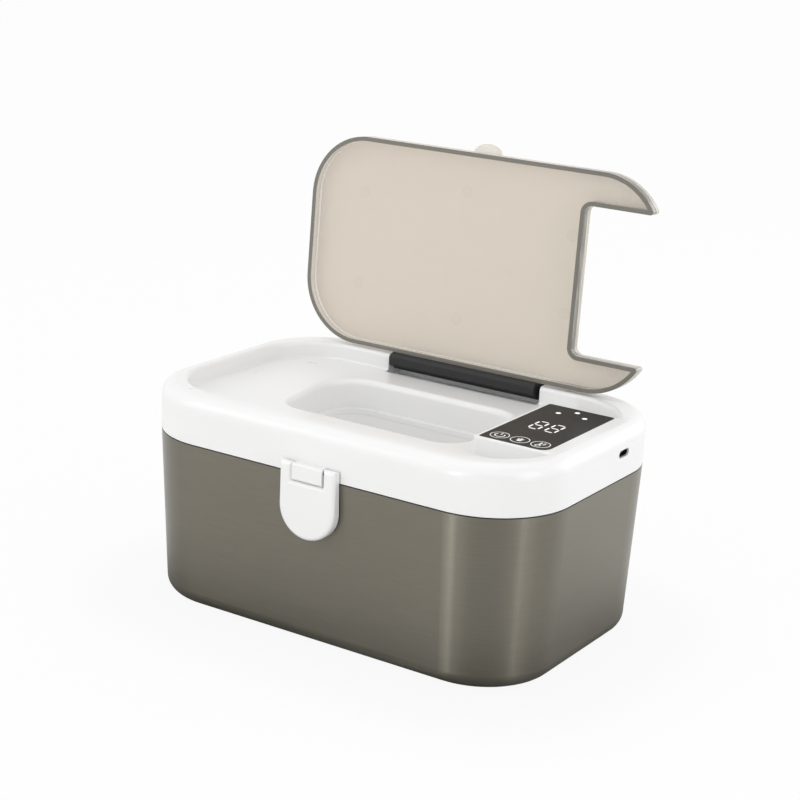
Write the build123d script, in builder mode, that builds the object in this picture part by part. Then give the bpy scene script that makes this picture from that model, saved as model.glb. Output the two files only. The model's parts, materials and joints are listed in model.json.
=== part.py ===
from build123d import *
import os
from math import cos, sin, radians

# Baby wipe warmer, in millimetres, +Z up, standing on its feet at z = 0.
# X runs along the width, -Y is the front with the latch. At rest the smoked lid stands open on
# its stop, the top housing is shut on the base and the latch flap hangs shut.

# ------------------------------------------------------------------ driving dimensions
# Outer body
body_w = 230.0           # width over the seam
body_d = 150.0           # depth over the seam
corner_r = 42.0          # plan radius of the four corners at the seam
foot_stand = 1.0         # feet below the base
seam_z = 88.7            # lower edge of the top housing
seam_gap = 0.5           # dark line between base and housing
housing_h = 24.3         # top housing, from the seam to the rim
rim_round = 7.0          # outer round of the rim
base_taper = 4.0         # each side of the base leans in by this at the bottom
base_wall = 2.8
base_round = 8.0         # round under the base

# Tub, seal and feet
tub_wall = 1.6
tub_air = 1.4            # gap between tub and base wall
tub_floor_z = 8.0
flange_t = 1.6
flange_inset = 1.5       # tub flange inside the outer outline
rabbet_gap = 0.15
seal_in, seal_out = 5.2, 3.3   # inner and outer inset of the silicone seal
seal_t = 0.8
foot_d = 14.0
foot_sink = 0.8
foot_in = (33.0, 29.0)    # foot centres inside the body's sides
tub_screw_in = (45.0, 37.0)

# Screws
screw_d = 2.9
screw_gap = 0.05         # round a screw or a pin
head_d = 6.2
head_t = 1.6
boss_d = 7.0

# Top housing
house_wall = 2.4
deck_drop = 9.0          # from the rim down to the deck under the lid
deck_t = 2.2
rim_side_w = 9.6         # rim beside the recess that the lid closes into
rim_front_w = 13.5
rim_rear_w = 17.0
recess_corner = 7.0      # the recess corners are tighter than the body's by this
recess_wall = 2.0
recess_lip_r = 2.2       # round at the top of the recess wall
recess_foot_r = 1.2      # round where the wall meets the deck
rim_roof = 3.0           # thickness over the hollow in the rim
rim_side = 3.4
finger_dip_w = 17.0      # hollow in the front rim under the lid tab
finger_dip = 2.4
finger_dip_tilt = 26.0

# Dispensing opening: its sides from the block and the recess, and its corner radii from rear left
mouth_right = 12.9       # from the control block
mouth_rear, mouth_rear_skew = 24.0, 0.8
mouth_front = 31.7
mouth_left, mouth_left_skew = 53.9, 9.5   # from the left of the recess at the front, and its lean
mouth_radii = [20.0, 15.0, 13.0, 12.0]
mouth_round = 3.0
collar_wall = 2.0
collar_below = 3.2       # lower end of the collar under the seam
collar_lip = 3.0         # inward lip at the lower end
collar_lip_t = 3.4
collar_lip_r = 1.4
hole_gap = 0.5           # round the collar in the plates that it passes

# Control block
block_w = 42.2           # from its left face to the side of the recess
block_front, block_rear = 26.3, 21.5   # from the front and the rear of the recess
block_wall = 2.0
block_roof = 2.0
block_edge_r = 1.0
block_corner_r = 2.0
film_left, film_right = 2.3, 3.5       # from the block's face and the side of the recess
film_edge = 1.5                        # from the front and rear of the block
film_t = 0.7
film_gap = 0.2
film_r = 1.5
film_front_r = 5.0
board_t = 1.2
board_drop = 1.8         # from the block roof down to the board
board_gap = 1.0
digits_w, digits_d = 18.6, 17.0
digits_off = (0.3, -0.05)              # from the centre of the film
led_d = 2.2
led_pitch, led_back = 7.35, (11.4, 5.3)   # from the rear of the film
touch_pitch, touch_front = 11.0, 7.1      # from the front of the film
touch_d = 8.0
standoff_d = 4.4
standoff_side = (3.7, 3.3)             # from the left and right of the film
standoff_front, standoff_rear = 15.7, (17.0, 5.5)
board_screw_d = 2.0
board_head_d = 3.6
board_head_t = 1.2
chip_off = (6.3, 23.0)                 # from the film's middle line and rear
chip_w, chip_t = 7.0, 1.2

# USB-C socket in the right wall
usb_rear = 15.6          # from the rear of the block
usb_drop = 11.65         # centre below the rim
usb_w, usb_h = 8.94, 3.26
usb_len = 6.6
usb_shell = 0.3
usb_back = 0.7           # set back from the wall face
usb_mouth_gap = 0.3
usb_flare = 0.3
usb_tongue_w, usb_tongue_t, usb_tongue_len = 6.7, 0.7, 5.0
usb_board_w, usb_board_t = 20.0, 1.0
usb_board_in = 15.5       # inner edge of the socket board inside the body's side
usb_post_pitch = 15.0
usb_post_in = 9.8

# Heater stack under the housing
cover_up = 0.5           # under side of the cover above the seam
cover_t = 2.0
cover_gap = 0.4
heater_in = (23.0, 26.0)  # inside the body's sides
heater_y = 1.0
heater_corner = 14.0      # tighter than the body's corners by this
heater_t = 1.2
heat_film_t = 0.3
heat_film_inset = 3.0
pad_t = 3.5
pad_inset = 7.0
cover_screw_in = 17.0     # side screws inside the body's sides
cover_screw_left, cover_screw_right = 37.0, 33.0   # the same along the depth
cover_screw_front_in = 21.0
cover_screw_front_x = 35.0
cover_screw_rim_x = 66.0
cover_screw_len = 8.0    # above the cover
lead_d = 1.4
lead_hole_d = 6.0
lead_off = (8.8, 8.2)    # from the block's face and front
lead_pitch = 2.4
bead_off = (8.8, 9.5)    # from the block's face and rear
bead_d, bead_h = 4.0, 4.0
bead_lead_d = 1.0
usb_lead_d = 1.0
usb_lead_pitch = 2.0

# Lid (measured closed, then turned open about its hinge)
lid_angle = 93.4         # from closed to open
lid_side_gap = 1.1       # to the side of the recess
lid_rear_gap = 1.25
lid_front_gap = 6.25     # room for the tab
lid_deck_gap = 0.4
lid_h = 8.0
lid_wall = 2.2
lid_top_r = 1.4
notch_side = 1.6         # left edge of the notch from the control block
notch_gap = 2.4          # from the control block, front and rear
notch_r = 4.0
horn_r = 1.5
tab_half_w = 8.2
tab_out = 4.7
tab_t = 2.0

# Lid hinge
hinge_back = 4.56        # hinge line behind the recess
hinge_drop = 4.56        # hinge line below the rim
hinge_pin_d = 3.0
bar_end_gap = 2.3        # between the ends of the bar and of the well
bar_below = 7.1          # under the hinge line with the lid closed
bar_back = 1.2
bar_barrel_r = 3.9
bar_nose_r = 2.6         # lower front corner with the lid closed
bar_heel_r = 1.2
well_half = 46.6         # hinge well in the rear rim
well_front_in, well_rear_out = 3.3, 10.2   # from the rear of the recess
well_deep = 12.4         # floor of the well below the rim
well_wall = 2.2
well_end = 5.0
stop_gap = 0.3
stop_half = 20.0
stop_drop = 3.3          # under side of the stop below the rim
stop_t = 2.2

# Rear hinge between base and housing
rear_axis_out = 2.5      # outside the rear wall
rear_barrel_r = 2.1
rear_pin_d = 2.0
knuckle_w = 15.0
knuckle_gap = 0.4
rear_web_h = 5.0

# Latch
latch_half = 16.1        # half width, and the radius of the lower end
latch_tip_drop = 31.3    # lower end below the seam
latch_t = 2.2
latch_wall = 1.8
latch_axis_out = 2.4     # in front of the front wall
latch_axis_up = 3.8      # above the seam
latch_barrel_r = 2.2
latch_pin_d = 1.6
latch_pin_end = 1.2      # pin end inside the ear
latch_round = 2.0        # round of the front edge
ear_round = 1.8          # round at the back of the ears, which turns past the wall
latch_back_gap = 0.45
tongue_half_w = 8.6
tongue_round = 1.0
tongue_below = 2.4       # lower end of the tongue under the seam
tongue_gap = 0.5
tongue_base_gap = 0.3
hook_drop, hook_h, hook_half_w = 20.0, 2.0, 7.0   # hook inside the flap, below the seam
hook_reach = 2.0
hook_gap = 0.2
catch_h = 2.0
catch_proud = 1.4
touch = 0.05             # half band in which faces and corners are picked by their place

# ------------------------------------------------------------------ worked-out sizes
base_top = seam_z - seam_gap
base_floor = foot_stand + base_wall
rim_z = seam_z + housing_h
deck_z = rim_z - deck_drop
deck_under = deck_z - deck_t
collar_z = seam_z - collar_below
cover_z = seam_z + cover_up
usb_z = rim_z - usb_drop
hinge_z = rim_z - hinge_drop
well_z = rim_z - well_deep
stop_z = rim_z - stop_drop
recess_half_w = body_w / 2 - rim_side_w
recess_front = rim_front_w - body_d / 2
recess_rear = body_d / 2 - rim_rear_w
recess_r = corner_r - recess_corner
foot_x, foot_y = body_w / 2 - foot_in[0], body_d / 2 - foot_in[1]
tub_screw_x, tub_screw_y = body_w / 2 - tub_screw_in[0], body_d / 2 - tub_screw_in[1]
recess_y = (recess_front + recess_rear) / 2
recess_d = recess_rear - recess_front
block_x = recess_half_w - block_w
block_y0, block_y1 = recess_front + block_front, recess_rear - block_rear
film_x0, film_x1 = block_x + film_left, recess_half_w - film_right
film_y0, film_y1 = block_y0 + film_edge, block_y1 - film_edge
film_x, film_y = (film_x0 + film_x1) / 2, (film_y0 + film_y1) / 2
digits_at = (film_x + digits_off[0], film_y + digits_off[1])
led_at = [
    (digits_at[0] - led_pitch, film_y1 - led_back[0]),
    (digits_at[0], film_y1 - led_back[1]),
    (digits_at[0] + led_pitch, film_y1 - led_back[0]),
]
touch_at = [(digits_at[0] + place * touch_pitch, film_y0 + touch_front) for place in (-1, 0, 1)]
standoff_x0, standoff_x1 = film_x0 + standoff_side[0], film_x1 - standoff_side[1]
standoff_at = [
    (standoff_x0, film_y0 + standoff_front),
    (standoff_x1, film_y0 + standoff_front),
    (standoff_x0, film_y1 - standoff_rear[0]),
    (standoff_x1, film_y1 - standoff_rear[1]),
]
chip_at = (film_x + chip_off[0], film_y1 - chip_off[1])
usb_y = block_y1 - usb_rear
mouth_x0, mouth_x1 = mouth_left - recess_half_w, block_x - mouth_right
mouth_y0, mouth_y1 = recess_front + mouth_front, recess_rear - mouth_rear
mouth_corners = [
    (mouth_x0 - mouth_left_skew, mouth_y1),
    (mouth_x1, mouth_y1 - mouth_rear_skew),
    (mouth_x1, mouth_y0),
    (mouth_x0, mouth_y0),
]
heater_w, heater_d = body_w - 2 * heater_in[0], body_d - 2 * heater_in[1]
heater_r = corner_r - heater_corner
lead_at = (block_x + lead_off[0], block_y0 + lead_off[1])
bead_at = (block_x + bead_off[0], block_y1 - bead_off[1])
usb_board_x = body_w / 2 - usb_board_in
usb_post_x = body_w / 2 - usb_post_in
lid_z = deck_z + lid_deck_gap
lid_top = lid_z + lid_h
lid_half_w = recess_half_w - lid_side_gap
lid_rear = recess_rear - lid_rear_gap
lid_front = recess_front + lid_front_gap
lid_len = lid_rear - lid_front
lid_r = recess_r - lid_side_gap
notch_x = block_x - notch_side
hinge_y = recess_rear + hinge_back
well_front, well_rear = recess_rear - well_front_in, recess_rear + well_rear_out
block_top = rim_z - film_t
block_x1 = recess_half_w + recess_lip_r + block_edge_r
roof_under = block_top - block_roof
board_z = roof_under - board_drop
cover_top = cover_z + cover_t
latch_axis_y = -body_d / 2 - latch_axis_out
latch_face = latch_axis_y - latch_barrel_r
rear_axis_y = body_d / 2 + rear_axis_out
rear_axis_z = seam_z
knuckle_pitch = knuckle_w + knuckle_gap
latch_axis_z = seam_z + latch_axis_up
latch_top = latch_axis_z + latch_barrel_r
latch_arc_z = seam_z - latch_tip_drop + latch_half
latch_pin_half = latch_half - latch_pin_end
latch_web_z = seam_z - tongue_below - tongue_gap
tongue_low = seam_z - tongue_below
hook_z = seam_z - hook_drop
usb_board_x1 = body_w / 2 - house_wall - cover_gap
board_screw_hold = roof_under - board_z + block_roof / 3
rear_pin_half = 2 * knuckle_pitch + knuckle_w / 2
lid_pin_half = well_half + well_end - 2 * stop_gap
bar_half = well_half - bar_end_gap
bar_top = hinge_z + bar_barrel_r
usb_board_top = usb_z - usb_h / 2
board_x0, board_x1 = block_x + block_wall + board_gap, film_x1 - 2 * film_gap
board_y0, board_y1 = block_y0 + block_wall + board_gap, block_y1 - block_wall - board_gap
cover_screw_rim_y = recess_rear + recess_wall / 2 + boss_d / 2
cover_screw_rim = [(-cover_screw_rim_x, cover_screw_rim_y), (cover_screw_rim_x, cover_screw_rim_y)]
cover_screw_x, cover_screw_left_y = body_w / 2 - cover_screw_in, body_d / 2 - cover_screw_left
cover_screw_right_y, cover_screw_front_y = body_d / 2 - cover_screw_right, cover_screw_front_in - body_d / 2
cover_screw_deck = [
    (-cover_screw_x, -cover_screw_left_y),
    (-cover_screw_x, cover_screw_left_y),
    (cover_screw_x, -cover_screw_right_y),
    (cover_screw_x, cover_screw_right_y),
    (-cover_screw_front_x, cover_screw_front_y),
    (cover_screw_front_x, cover_screw_front_y),
]
cover_screw_at = cover_screw_deck + cover_screw_rim


def lean(z):
    """Inset of the base's outer face at height z."""
    return base_taper * (base_top - z) / (base_top - foot_stand)


def outline(inset):
    """Body outline, set in by inset."""
    return RectangleRounded(body_w - 2 * inset, body_d - 2 * inset, corner_r - inset)


def turned(y, z):
    """A point of the closed lid, turned to the open rest pose."""
    a = radians(lid_angle)
    dy, dz = y - hinge_y, z - hinge_z
    return hinge_y + dy * cos(a) + dz * sin(a), hinge_z - dy * sin(a) + dz * cos(a)


stop_face = turned(lid_rear, bar_top)[0] + stop_gap
lid_up = (0, sin(radians(lid_angle)), cos(radians(lid_angle)))
lid_back = (0, cos(radians(lid_angle)), -sin(radians(lid_angle)))
lid_frame = Plane(origin=(0, *turned(0, 0)), x_dir=(1, 0, 0), z_dir=lid_up)


def lid_side(x):
    """Side plane of the lid at x, with the closed lid's Y and Z as its own axes."""
    return Plane(origin=(x, *turned(0, 0)), x_dir=lid_back, z_dir=(1, 0, 0))


os.makedirs("parts", exist_ok=True)

# ------------------------------------------------------------------ shared outlines
with BuildSketch() as mouth_plan:
    with BuildLine():
        FilletPolyline(*mouth_corners, radius=mouth_radii, close=True)
    make_face()

with BuildSketch() as lid_plan:
    with Locations((0, (lid_front + lid_rear) / 2)):
        RectangleRounded(2 * lid_half_w, lid_len, lid_r)
    with BuildLine():
        Polyline(
            (notch_x, block_y0 - notch_gap),
            (lid_half_w + notch_gap, block_y0 - notch_gap),
            (lid_half_w + notch_gap, block_y1 + notch_gap),
            (notch_x, block_y1 + notch_gap),
            close=True,
        )
    make_face(mode=Mode.SUBTRACT)
    inner_corners = lid_plan.vertices().filter_by_position(Axis.X, notch_x - touch, notch_x + touch)
    fillet(inner_corners, notch_r)
    notch_y0, notch_y1 = block_y0 - notch_gap - touch, block_y1 + notch_gap + touch
    tips = lid_plan.vertices().filter_by_position(Axis.Y, notch_y0, notch_y1)
    fillet(tips.sort_by(Axis.X)[-2:], horn_r)

with BuildSketch() as collar_hole:
    add(mouth_plan.sketch)
    offset(amount=collar_wall + hole_gap)

with BuildSketch() as film_hole:
    add(collar_hole.sketch)
    offset(amount=heat_film_inset)

with BuildSketch() as film_plan:
    with Locations(((film_x0 + film_x1) / 2, (film_y0 + film_y1) / 2)):
        Rectangle(film_x1 - film_x0, film_y1 - film_y0)
    front_right = film_plan.vertices().sort_by_distance((film_x1, film_y0))[0]
    fillet(front_right, film_front_r)
    fillet(film_plan.vertices().sort_by_distance((film_x1, film_y0))[2:], film_r)

with BuildSketch() as heater_plan:
    with Locations((0, heater_y)):
        RectangleRounded(heater_w, heater_d, heater_r)

# ------------------------------------------------------------------ base
with BuildPart() as base_shell:
    with BuildSketch(Plane.XY.offset(foot_stand)):
        outline(base_taper)
    with BuildSketch(Plane.XY.offset(base_top)):
        outline(0)
    loft()
    fillet(base_shell.faces().sort_by(Axis.Z)[0].outer_wire().edges(), base_round)
    with BuildSketch(Plane.XY.offset(base_floor)):
        outline(lean(base_floor) + base_wall)
    with BuildSketch(Plane.XY.offset(base_top)):
        outline(base_wall)
    loft(mode=Mode.SUBTRACT)
    base_inside = base_shell.faces().filter_by_position(Axis.Z, base_floor - touch, base_floor + touch)
    fillet(base_inside.sort_by(SortBy.AREA)[-1].outer_wire().edges(), base_round - base_wall)
    # rabbet for the tub flange
    with BuildSketch(Plane.XY.offset(base_top - flange_t)):
        outline(flange_inset - rabbet_gap)
    extrude(amount=flange_t, mode=Mode.SUBTRACT)
    # bosses that carry the tub
    with BuildSketch(Plane.XY.offset(base_floor / 2)):
        with GridLocations(2 * tub_screw_x, 2 * tub_screw_y, 2, 2):
            Circle(boss_d / 2)
    extrude(amount=tub_floor_z - foot_stand - base_wall / 2)
    with BuildSketch(Plane.XY.offset(base_floor)):
        with GridLocations(2 * tub_screw_x, 2 * tub_screw_y, 2, 2):
            Circle(screw_d / 2 + screw_gap)
    extrude(amount=tub_floor_z - foot_stand, mode=Mode.SUBTRACT)
    # seats of the feet
    with BuildSketch(Plane.XY.offset(foot_stand)):
        with GridLocations(2 * foot_x, 2 * foot_y, 2, 2):
            Circle(foot_d / 2 + screw_gap)
    extrude(amount=foot_sink, mode=Mode.SUBTRACT)
    # catch ridge behind the latch flap
    catch_face = -body_d / 2 + lean(hook_z + hook_h)
    with BuildSketch(Plane.YZ.offset(-hook_half_w)):
        with BuildLine():
            Polyline(
                (catch_face + base_wall / 2, hook_z + hook_h + hook_gap),
                (catch_face - catch_proud, hook_z + hook_h + hook_gap),
                (catch_face - catch_proud, hook_z + hook_h + hook_gap + catch_h / 2),
                (catch_face + base_wall / 2, hook_z + hook_h + hook_gap + 2 * catch_h),
                close=True,
            )
        make_face()
    extrude(amount=2 * hook_half_w)
    # rear hinge knuckles
    for place in (-2, 0, 2):
        with BuildSketch(Plane.YZ.offset(place * knuckle_pitch)):
            with Locations((rear_axis_y, rear_axis_z)):
                Circle(rear_barrel_r)
            with BuildLine():
                Polyline(
                    (body_d / 2 - base_wall / 2, rear_axis_z - rear_barrel_r - rear_web_h),
                    (rear_axis_y, rear_axis_z - rear_barrel_r),
                    (rear_axis_y, base_top),
                    (body_d / 2 - base_wall / 2, base_top),
                    close=True,
                )
            make_face()
        extrude(amount=knuckle_w / 2, both=True)
    with BuildSketch(Plane.YZ):
        with Locations((rear_axis_y, rear_axis_z)):
            Circle(rear_pin_d / 2 + screw_gap)
    extrude(amount=rear_pin_half, both=True, mode=Mode.SUBTRACT)
base_shell.part.label = "base_shell"

with BuildPart() as base_feet:
    with BuildSketch():
        with GridLocations(2 * foot_x, 2 * foot_y, 2, 2):
            Circle(foot_d / 2)
    extrude(amount=foot_stand + foot_sink)
    fillet(base_feet.faces().group_by(Axis.Z)[0].edges(), foot_stand / 2)
base_feet.part.label = "base_feet"

# tub: a drafted box hung by its flange in the base rabbet
tub_top_inset = base_wall + tub_air
with BuildPart() as inner_tub:
    with BuildSketch(Plane.XY.offset(tub_floor_z)):
        outline(lean(tub_floor_z) + tub_top_inset)
    with BuildSketch(Plane.XY.offset(base_top)):
        outline(tub_top_inset)
    loft()
    with BuildSketch(Plane.XY.offset(base_top - flange_t + rabbet_gap)):
        outline(flange_inset)
    extrude(amount=flange_t - rabbet_gap)
    with BuildSketch(Plane.XY.offset(tub_floor_z + tub_wall)):
        outline(lean(tub_floor_z + tub_wall) + tub_top_inset + tub_wall)
    with BuildSketch(Plane.XY.offset(base_top)):
        outline(tub_top_inset + tub_wall)
    loft(mode=Mode.SUBTRACT)
    fillet(inner_tub.faces().group_by(Axis.Z)[1].edges(), 2 * tub_wall)
    with BuildSketch(Plane.XY.offset(tub_floor_z)):
        with GridLocations(2 * tub_screw_x, 2 * tub_screw_y, 2, 2):
            Circle(screw_d / 2 + 2 * screw_gap)
    extrude(amount=2 * tub_wall, mode=Mode.SUBTRACT)
inner_tub.part.label = "inner_tub"

with BuildPart() as tub_seal:
    with BuildSketch(Plane.XY.offset(base_top)):
        outline(seal_out)
        RectangleRounded(body_w - 2 * seal_in, body_d - 2 * seal_in, corner_r - seal_in, mode=Mode.SUBTRACT)
    extrude(amount=seal_t)
tub_seal.part.label = "tub_seal"

with BuildPart() as tub_screws:
    with BuildSketch(Plane.XY.offset(tub_floor_z + tub_wall)):
        with GridLocations(2 * tub_screw_x, 2 * tub_screw_y, 2, 2):
            Circle(head_d / 2)
    extrude(amount=head_t)
    fillet(tub_screws.faces().group_by(Axis.Z)[-1].edges(), head_t / 2)
    with BuildSketch(Plane.XY.offset(tub_floor_z + tub_wall)):
        with GridLocations(2 * tub_screw_x, 2 * tub_screw_y, 2, 2):
            Circle(screw_d / 2)
    extrude(amount=-(tub_floor_z + tub_wall - base_floor - screw_gap))
tub_screws.part.label = "tub_screws"

with BuildPart() as rear_hinge_pin:
    with BuildSketch(Plane.YZ):
        with Locations((rear_axis_y, rear_axis_z)):
            Circle(rear_pin_d / 2)
    extrude(amount=rear_pin_half, both=True)
rear_hinge_pin.part.label = "rear_hinge_pin"

# ------------------------------------------------------------------ control block, joined to the housing
with BuildPart() as block_form:
    with BuildSketch(Plane.XY.offset(deck_under)) as block_plan:
        with BuildLine():
            Polyline(
                (block_x, block_y0),
                (block_x1, block_y0),
                (block_x1, block_y1),
                (block_x, block_y1),
                close=True,
            )
        make_face()
        fillet(block_plan.vertices().group_by(Axis.X)[0], block_corner_r)
    extrude(amount=rim_z - deck_under)
    block_rim = block_form.faces().sort_by(Axis.Z)[-1].edges().sort_by(Axis.X)[:-1]
    fillet(block_rim, block_edge_r)

# ------------------------------------------------------------------ top housing
with BuildPart() as top_housing:
    with BuildSketch(Plane.XY.offset(seam_z)):
        outline(0)
    extrude(amount=rim_z - seam_z)
    fillet(top_housing.faces().sort_by(Axis.Z)[-1].outer_wire().edges(), rim_round)
    # hollow under the deck, then the hollow inside the rim
    with BuildSketch(Plane.XY.offset(seam_z)):
        outline(house_wall)
    extrude(amount=deck_under - seam_z, mode=Mode.SUBTRACT)
    with BuildSketch(Plane.XY.offset(deck_under)):
        outline(rim_side)
        with Locations((0, recess_y)):
            RectangleRounded(
                2 * (recess_half_w + recess_wall), recess_d + 2 * recess_wall, recess_r + recess_wall,
                mode=Mode.SUBTRACT,
            )
    extrude(amount=rim_z - rim_roof - deck_under, mode=Mode.SUBTRACT)
    # recess for the lid
    with BuildSketch(Plane.XY.offset(deck_z)):
        with Locations((0, recess_y)):
            RectangleRounded(2 * recess_half_w, recess_d, recess_r)
    extrude(amount=rim_z - deck_z, mode=Mode.SUBTRACT)
    deck = top_housing.faces().filter_by(Axis.Z).filter_by_position(Axis.Z, deck_z - touch, deck_z + touch)
    fillet(deck.sort_by(SortBy.AREA)[-1].outer_wire().edges(), recess_foot_r)
    rim = top_housing.faces().sort_by(Axis.Z)[-1]
    fillet(rim.inner_wires()[0].edges(), recess_lip_r)
    # finger dip under the lid tab
    dip_plane = Plane(
        origin=(0, recess_front + recess_lip_r, rim_z),
        x_dir=(1, 0, 0),
        z_dir=(0, -cos(radians(finger_dip_tilt)), sin(radians(finger_dip_tilt))),
    )
    with BuildSketch(dip_plane.offset(recess_lip_r)):
        Ellipse(finger_dip_w / 2, finger_dip)
    extrude(amount=3 * recess_lip_r + finger_dip, mode=Mode.SUBTRACT)
    # control block beside the deck, joined to the right rim
    add(block_form.part)
    # hollow of the block, open to the space under the deck
    with BuildSketch(Plane.XY.offset(deck_under)):
        with BuildLine():
            Polyline(
                (block_x + block_wall, block_y0 + block_wall),
                (block_x1 + block_edge_r, block_y0 + block_wall),
                (block_x1 + block_edge_r, block_y1 - block_wall),
                (block_x + block_wall, block_y1 - block_wall),
                close=True,
            )
        make_face()
    extrude(amount=roof_under - deck_under, mode=Mode.SUBTRACT)
    # pocket for the display film
    with BuildSketch(Plane.XY.offset(block_top)):
        add(film_plan.sketch)
        offset(amount=film_gap)
    extrude(amount=film_t, mode=Mode.SUBTRACT)
    # windows for the digits and the status lights
    with BuildSketch(Plane.XY.offset(roof_under)):
        with Locations(digits_at):
            Rectangle(digits_w + 2 * film_gap, digits_d + 2 * film_gap)
        with Locations(*led_at):
            Circle(led_d / 2 + film_gap)
    extrude(amount=block_roof, mode=Mode.SUBTRACT)
    # standoffs of the control board and posts of the socket board
    with BuildSketch(Plane.XY.offset(board_z)):
        with Locations(*standoff_at):
            Circle(standoff_d / 2)
    extrude(amount=roof_under - board_z)
    with BuildSketch(Plane.XY.offset(usb_board_top)):
        with Locations((usb_post_x, usb_y)):
            with GridLocations(1, usb_post_pitch, 1, 2):
                Circle(standoff_d / 2)
    extrude(amount=roof_under - usb_board_top)
    with BuildSketch(Plane.XY.offset(board_z)):
        with Locations(*standoff_at):
            Circle(board_screw_d / 2 + screw_gap)
    extrude(amount=board_screw_hold + screw_gap, mode=Mode.SUBTRACT)
    with BuildSketch(Plane.XY.offset(usb_board_top)):
        with Locations((usb_post_x, usb_y)):
            with GridLocations(1, usb_post_pitch, 1, 2):
                Circle(board_screw_d / 2 + screw_gap)
    extrude(amount=board_screw_hold + screw_gap, mode=Mode.SUBTRACT)
    # hinge well in the rear rim, with the stop that the open lid leans on
    with BuildSketch(Plane.XY.offset(well_z - well_wall)):
        with Locations((0, (well_front - well_wall + body_d / 2 - house_wall) / 2)):
            Rectangle(2 * (well_half + well_end), body_d / 2 - house_wall - well_front + well_wall)
    extrude(amount=deck_z - well_z + well_wall - deck_t / 2)
    with BuildSketch(Plane.XY.offset(deck_under)):
        with Locations((0, (recess_rear + recess_wall / 2 + body_d / 2 - house_wall) / 2)):
            Rectangle(2 * (well_half + well_end), body_d / 2 - house_wall - recess_rear - recess_wall / 2)
    extrude(amount=rim_z - rim_roof / 2 - deck_under)
    with BuildSketch(Plane.XY.offset(well_z)):
        with Locations((0, (well_front + well_rear) / 2)):
            Rectangle(2 * well_half, well_rear - well_front)
    extrude(amount=rim_z - well_z, mode=Mode.SUBTRACT)
    with BuildSketch(Plane.XY.offset(stop_z)):
        with Locations((0, (stop_face + well_rear + well_wall / 2) / 2)):
            Rectangle(2 * stop_half, well_rear + well_wall / 2 - stop_face)
    extrude(amount=stop_t)
    with BuildSketch(Plane.YZ):
        with Locations((hinge_y, hinge_z)):
            Circle(hinge_pin_d / 2 + screw_gap)
    extrude(amount=well_half + well_end, both=True, mode=Mode.SUBTRACT)
    # collar of the dispensing opening, with its rounded inward lip
    with BuildSketch(Plane.XY.offset(collar_z)):
        add(mouth_plan.sketch)
        offset(amount=collar_wall)
    extrude(amount=deck_under - collar_z)
    with BuildSketch(Plane.XY.offset(collar_z + collar_lip_t)):
        add(mouth_plan.sketch)
    extrude(amount=deck_z - collar_z - collar_lip_t, mode=Mode.SUBTRACT)
    with BuildSketch(Plane.XY.offset(collar_z)):
        add(mouth_plan.sketch)
        offset(amount=-collar_lip)
    extrude(amount=collar_lip_t, mode=Mode.SUBTRACT)
    lip_foot = top_housing.faces().filter_by_position(Axis.Z, collar_z - touch, collar_z + touch)
    fillet(lip_foot.sort_by(SortBy.AREA)[-1].inner_wires()[0].edges(), collar_lip_r)
    deck = top_housing.faces().filter_by_position(Axis.Z, deck_z - touch, deck_z + touch)
    fillet(deck.sort_by(SortBy.AREA)[-1].inner_wires()[0].edges(), mouth_round)
    # bosses for the screws of the inner cover
    with BuildSketch(Plane.XY.offset(cover_top)):
        with Locations(*cover_screw_at):
            Circle(boss_d / 2)
    extrude(amount=deck_z - deck_t / 2 - cover_top)
    with BuildSketch(Plane.XY.offset(deck_under)):
        with GridLocations(2 * cover_screw_rim_x, 1, 2, 1):
            with Locations((0, cover_screw_rim_y)):
                Circle(boss_d / 2)
    extrude(amount=rim_z - rim_roof / 2 - deck_under)
    with BuildSketch(Plane.XY.offset(cover_top)):
        with Locations(*cover_screw_at):
            Circle(screw_d / 2 + screw_gap)
    extrude(amount=cover_screw_len + screw_gap, mode=Mode.SUBTRACT)
    # rear hinge knuckles
    for place in (-1, 1):
        with BuildSketch(Plane.YZ.offset(place * knuckle_pitch)):
            with Locations((rear_axis_y, rear_axis_z)):
                Circle(rear_barrel_r)
            with BuildLine():
                Polyline(
                    (body_d / 2 - house_wall / 2, seam_z),
                    (rear_axis_y, seam_z),
                    (rear_axis_y, rear_axis_z + rear_barrel_r),
                    (body_d / 2 - house_wall / 2, rear_axis_z + rear_barrel_r + rear_web_h),
                    close=True,
                )
            make_face()
        extrude(amount=knuckle_w / 2, both=True)
    with BuildSketch(Plane.YZ):
        with Locations((rear_axis_y, rear_axis_z)):
            Circle(rear_pin_d / 2 + screw_gap)
    extrude(amount=rear_pin_half, both=True, mode=Mode.SUBTRACT)
    # tongue between the ears of the latch flap
    with BuildSketch(Plane.YZ) as tongue_profile:
        with BuildLine():
            Polyline(
                (-body_d / 2 + house_wall / 2, seam_z),
                (-body_d / 2 - tongue_base_gap, seam_z),
                (-body_d / 2 - tongue_base_gap, tongue_low),
                (latch_face, tongue_low),
                (latch_face, latch_top),
                (-body_d / 2 + house_wall / 2, latch_top),
                close=True,
            )
        make_face()
        fillet(tongue_profile.vertices().group_by(Axis.X)[0], tongue_round)
    extrude(amount=tongue_half_w, both=True)
    with BuildSketch(Plane.YZ):
        with Locations((latch_axis_y, latch_axis_z)):
            Circle(latch_pin_d / 2 + screw_gap)
    extrude(amount=tongue_half_w, both=True, mode=Mode.SUBTRACT)
    # mouth of the power socket in the right wall
    with BuildSketch(Plane.YZ.offset(body_w / 2)):
        with Locations((usb_y, usb_z)):
            SlotOverall(usb_w + 2 * usb_mouth_gap + 2 * usb_flare, usb_h + 2 * usb_mouth_gap)
    extrude(amount=-(rim_side + usb_back), mode=Mode.SUBTRACT)
top_housing.part.label = "top_housing"

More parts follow.
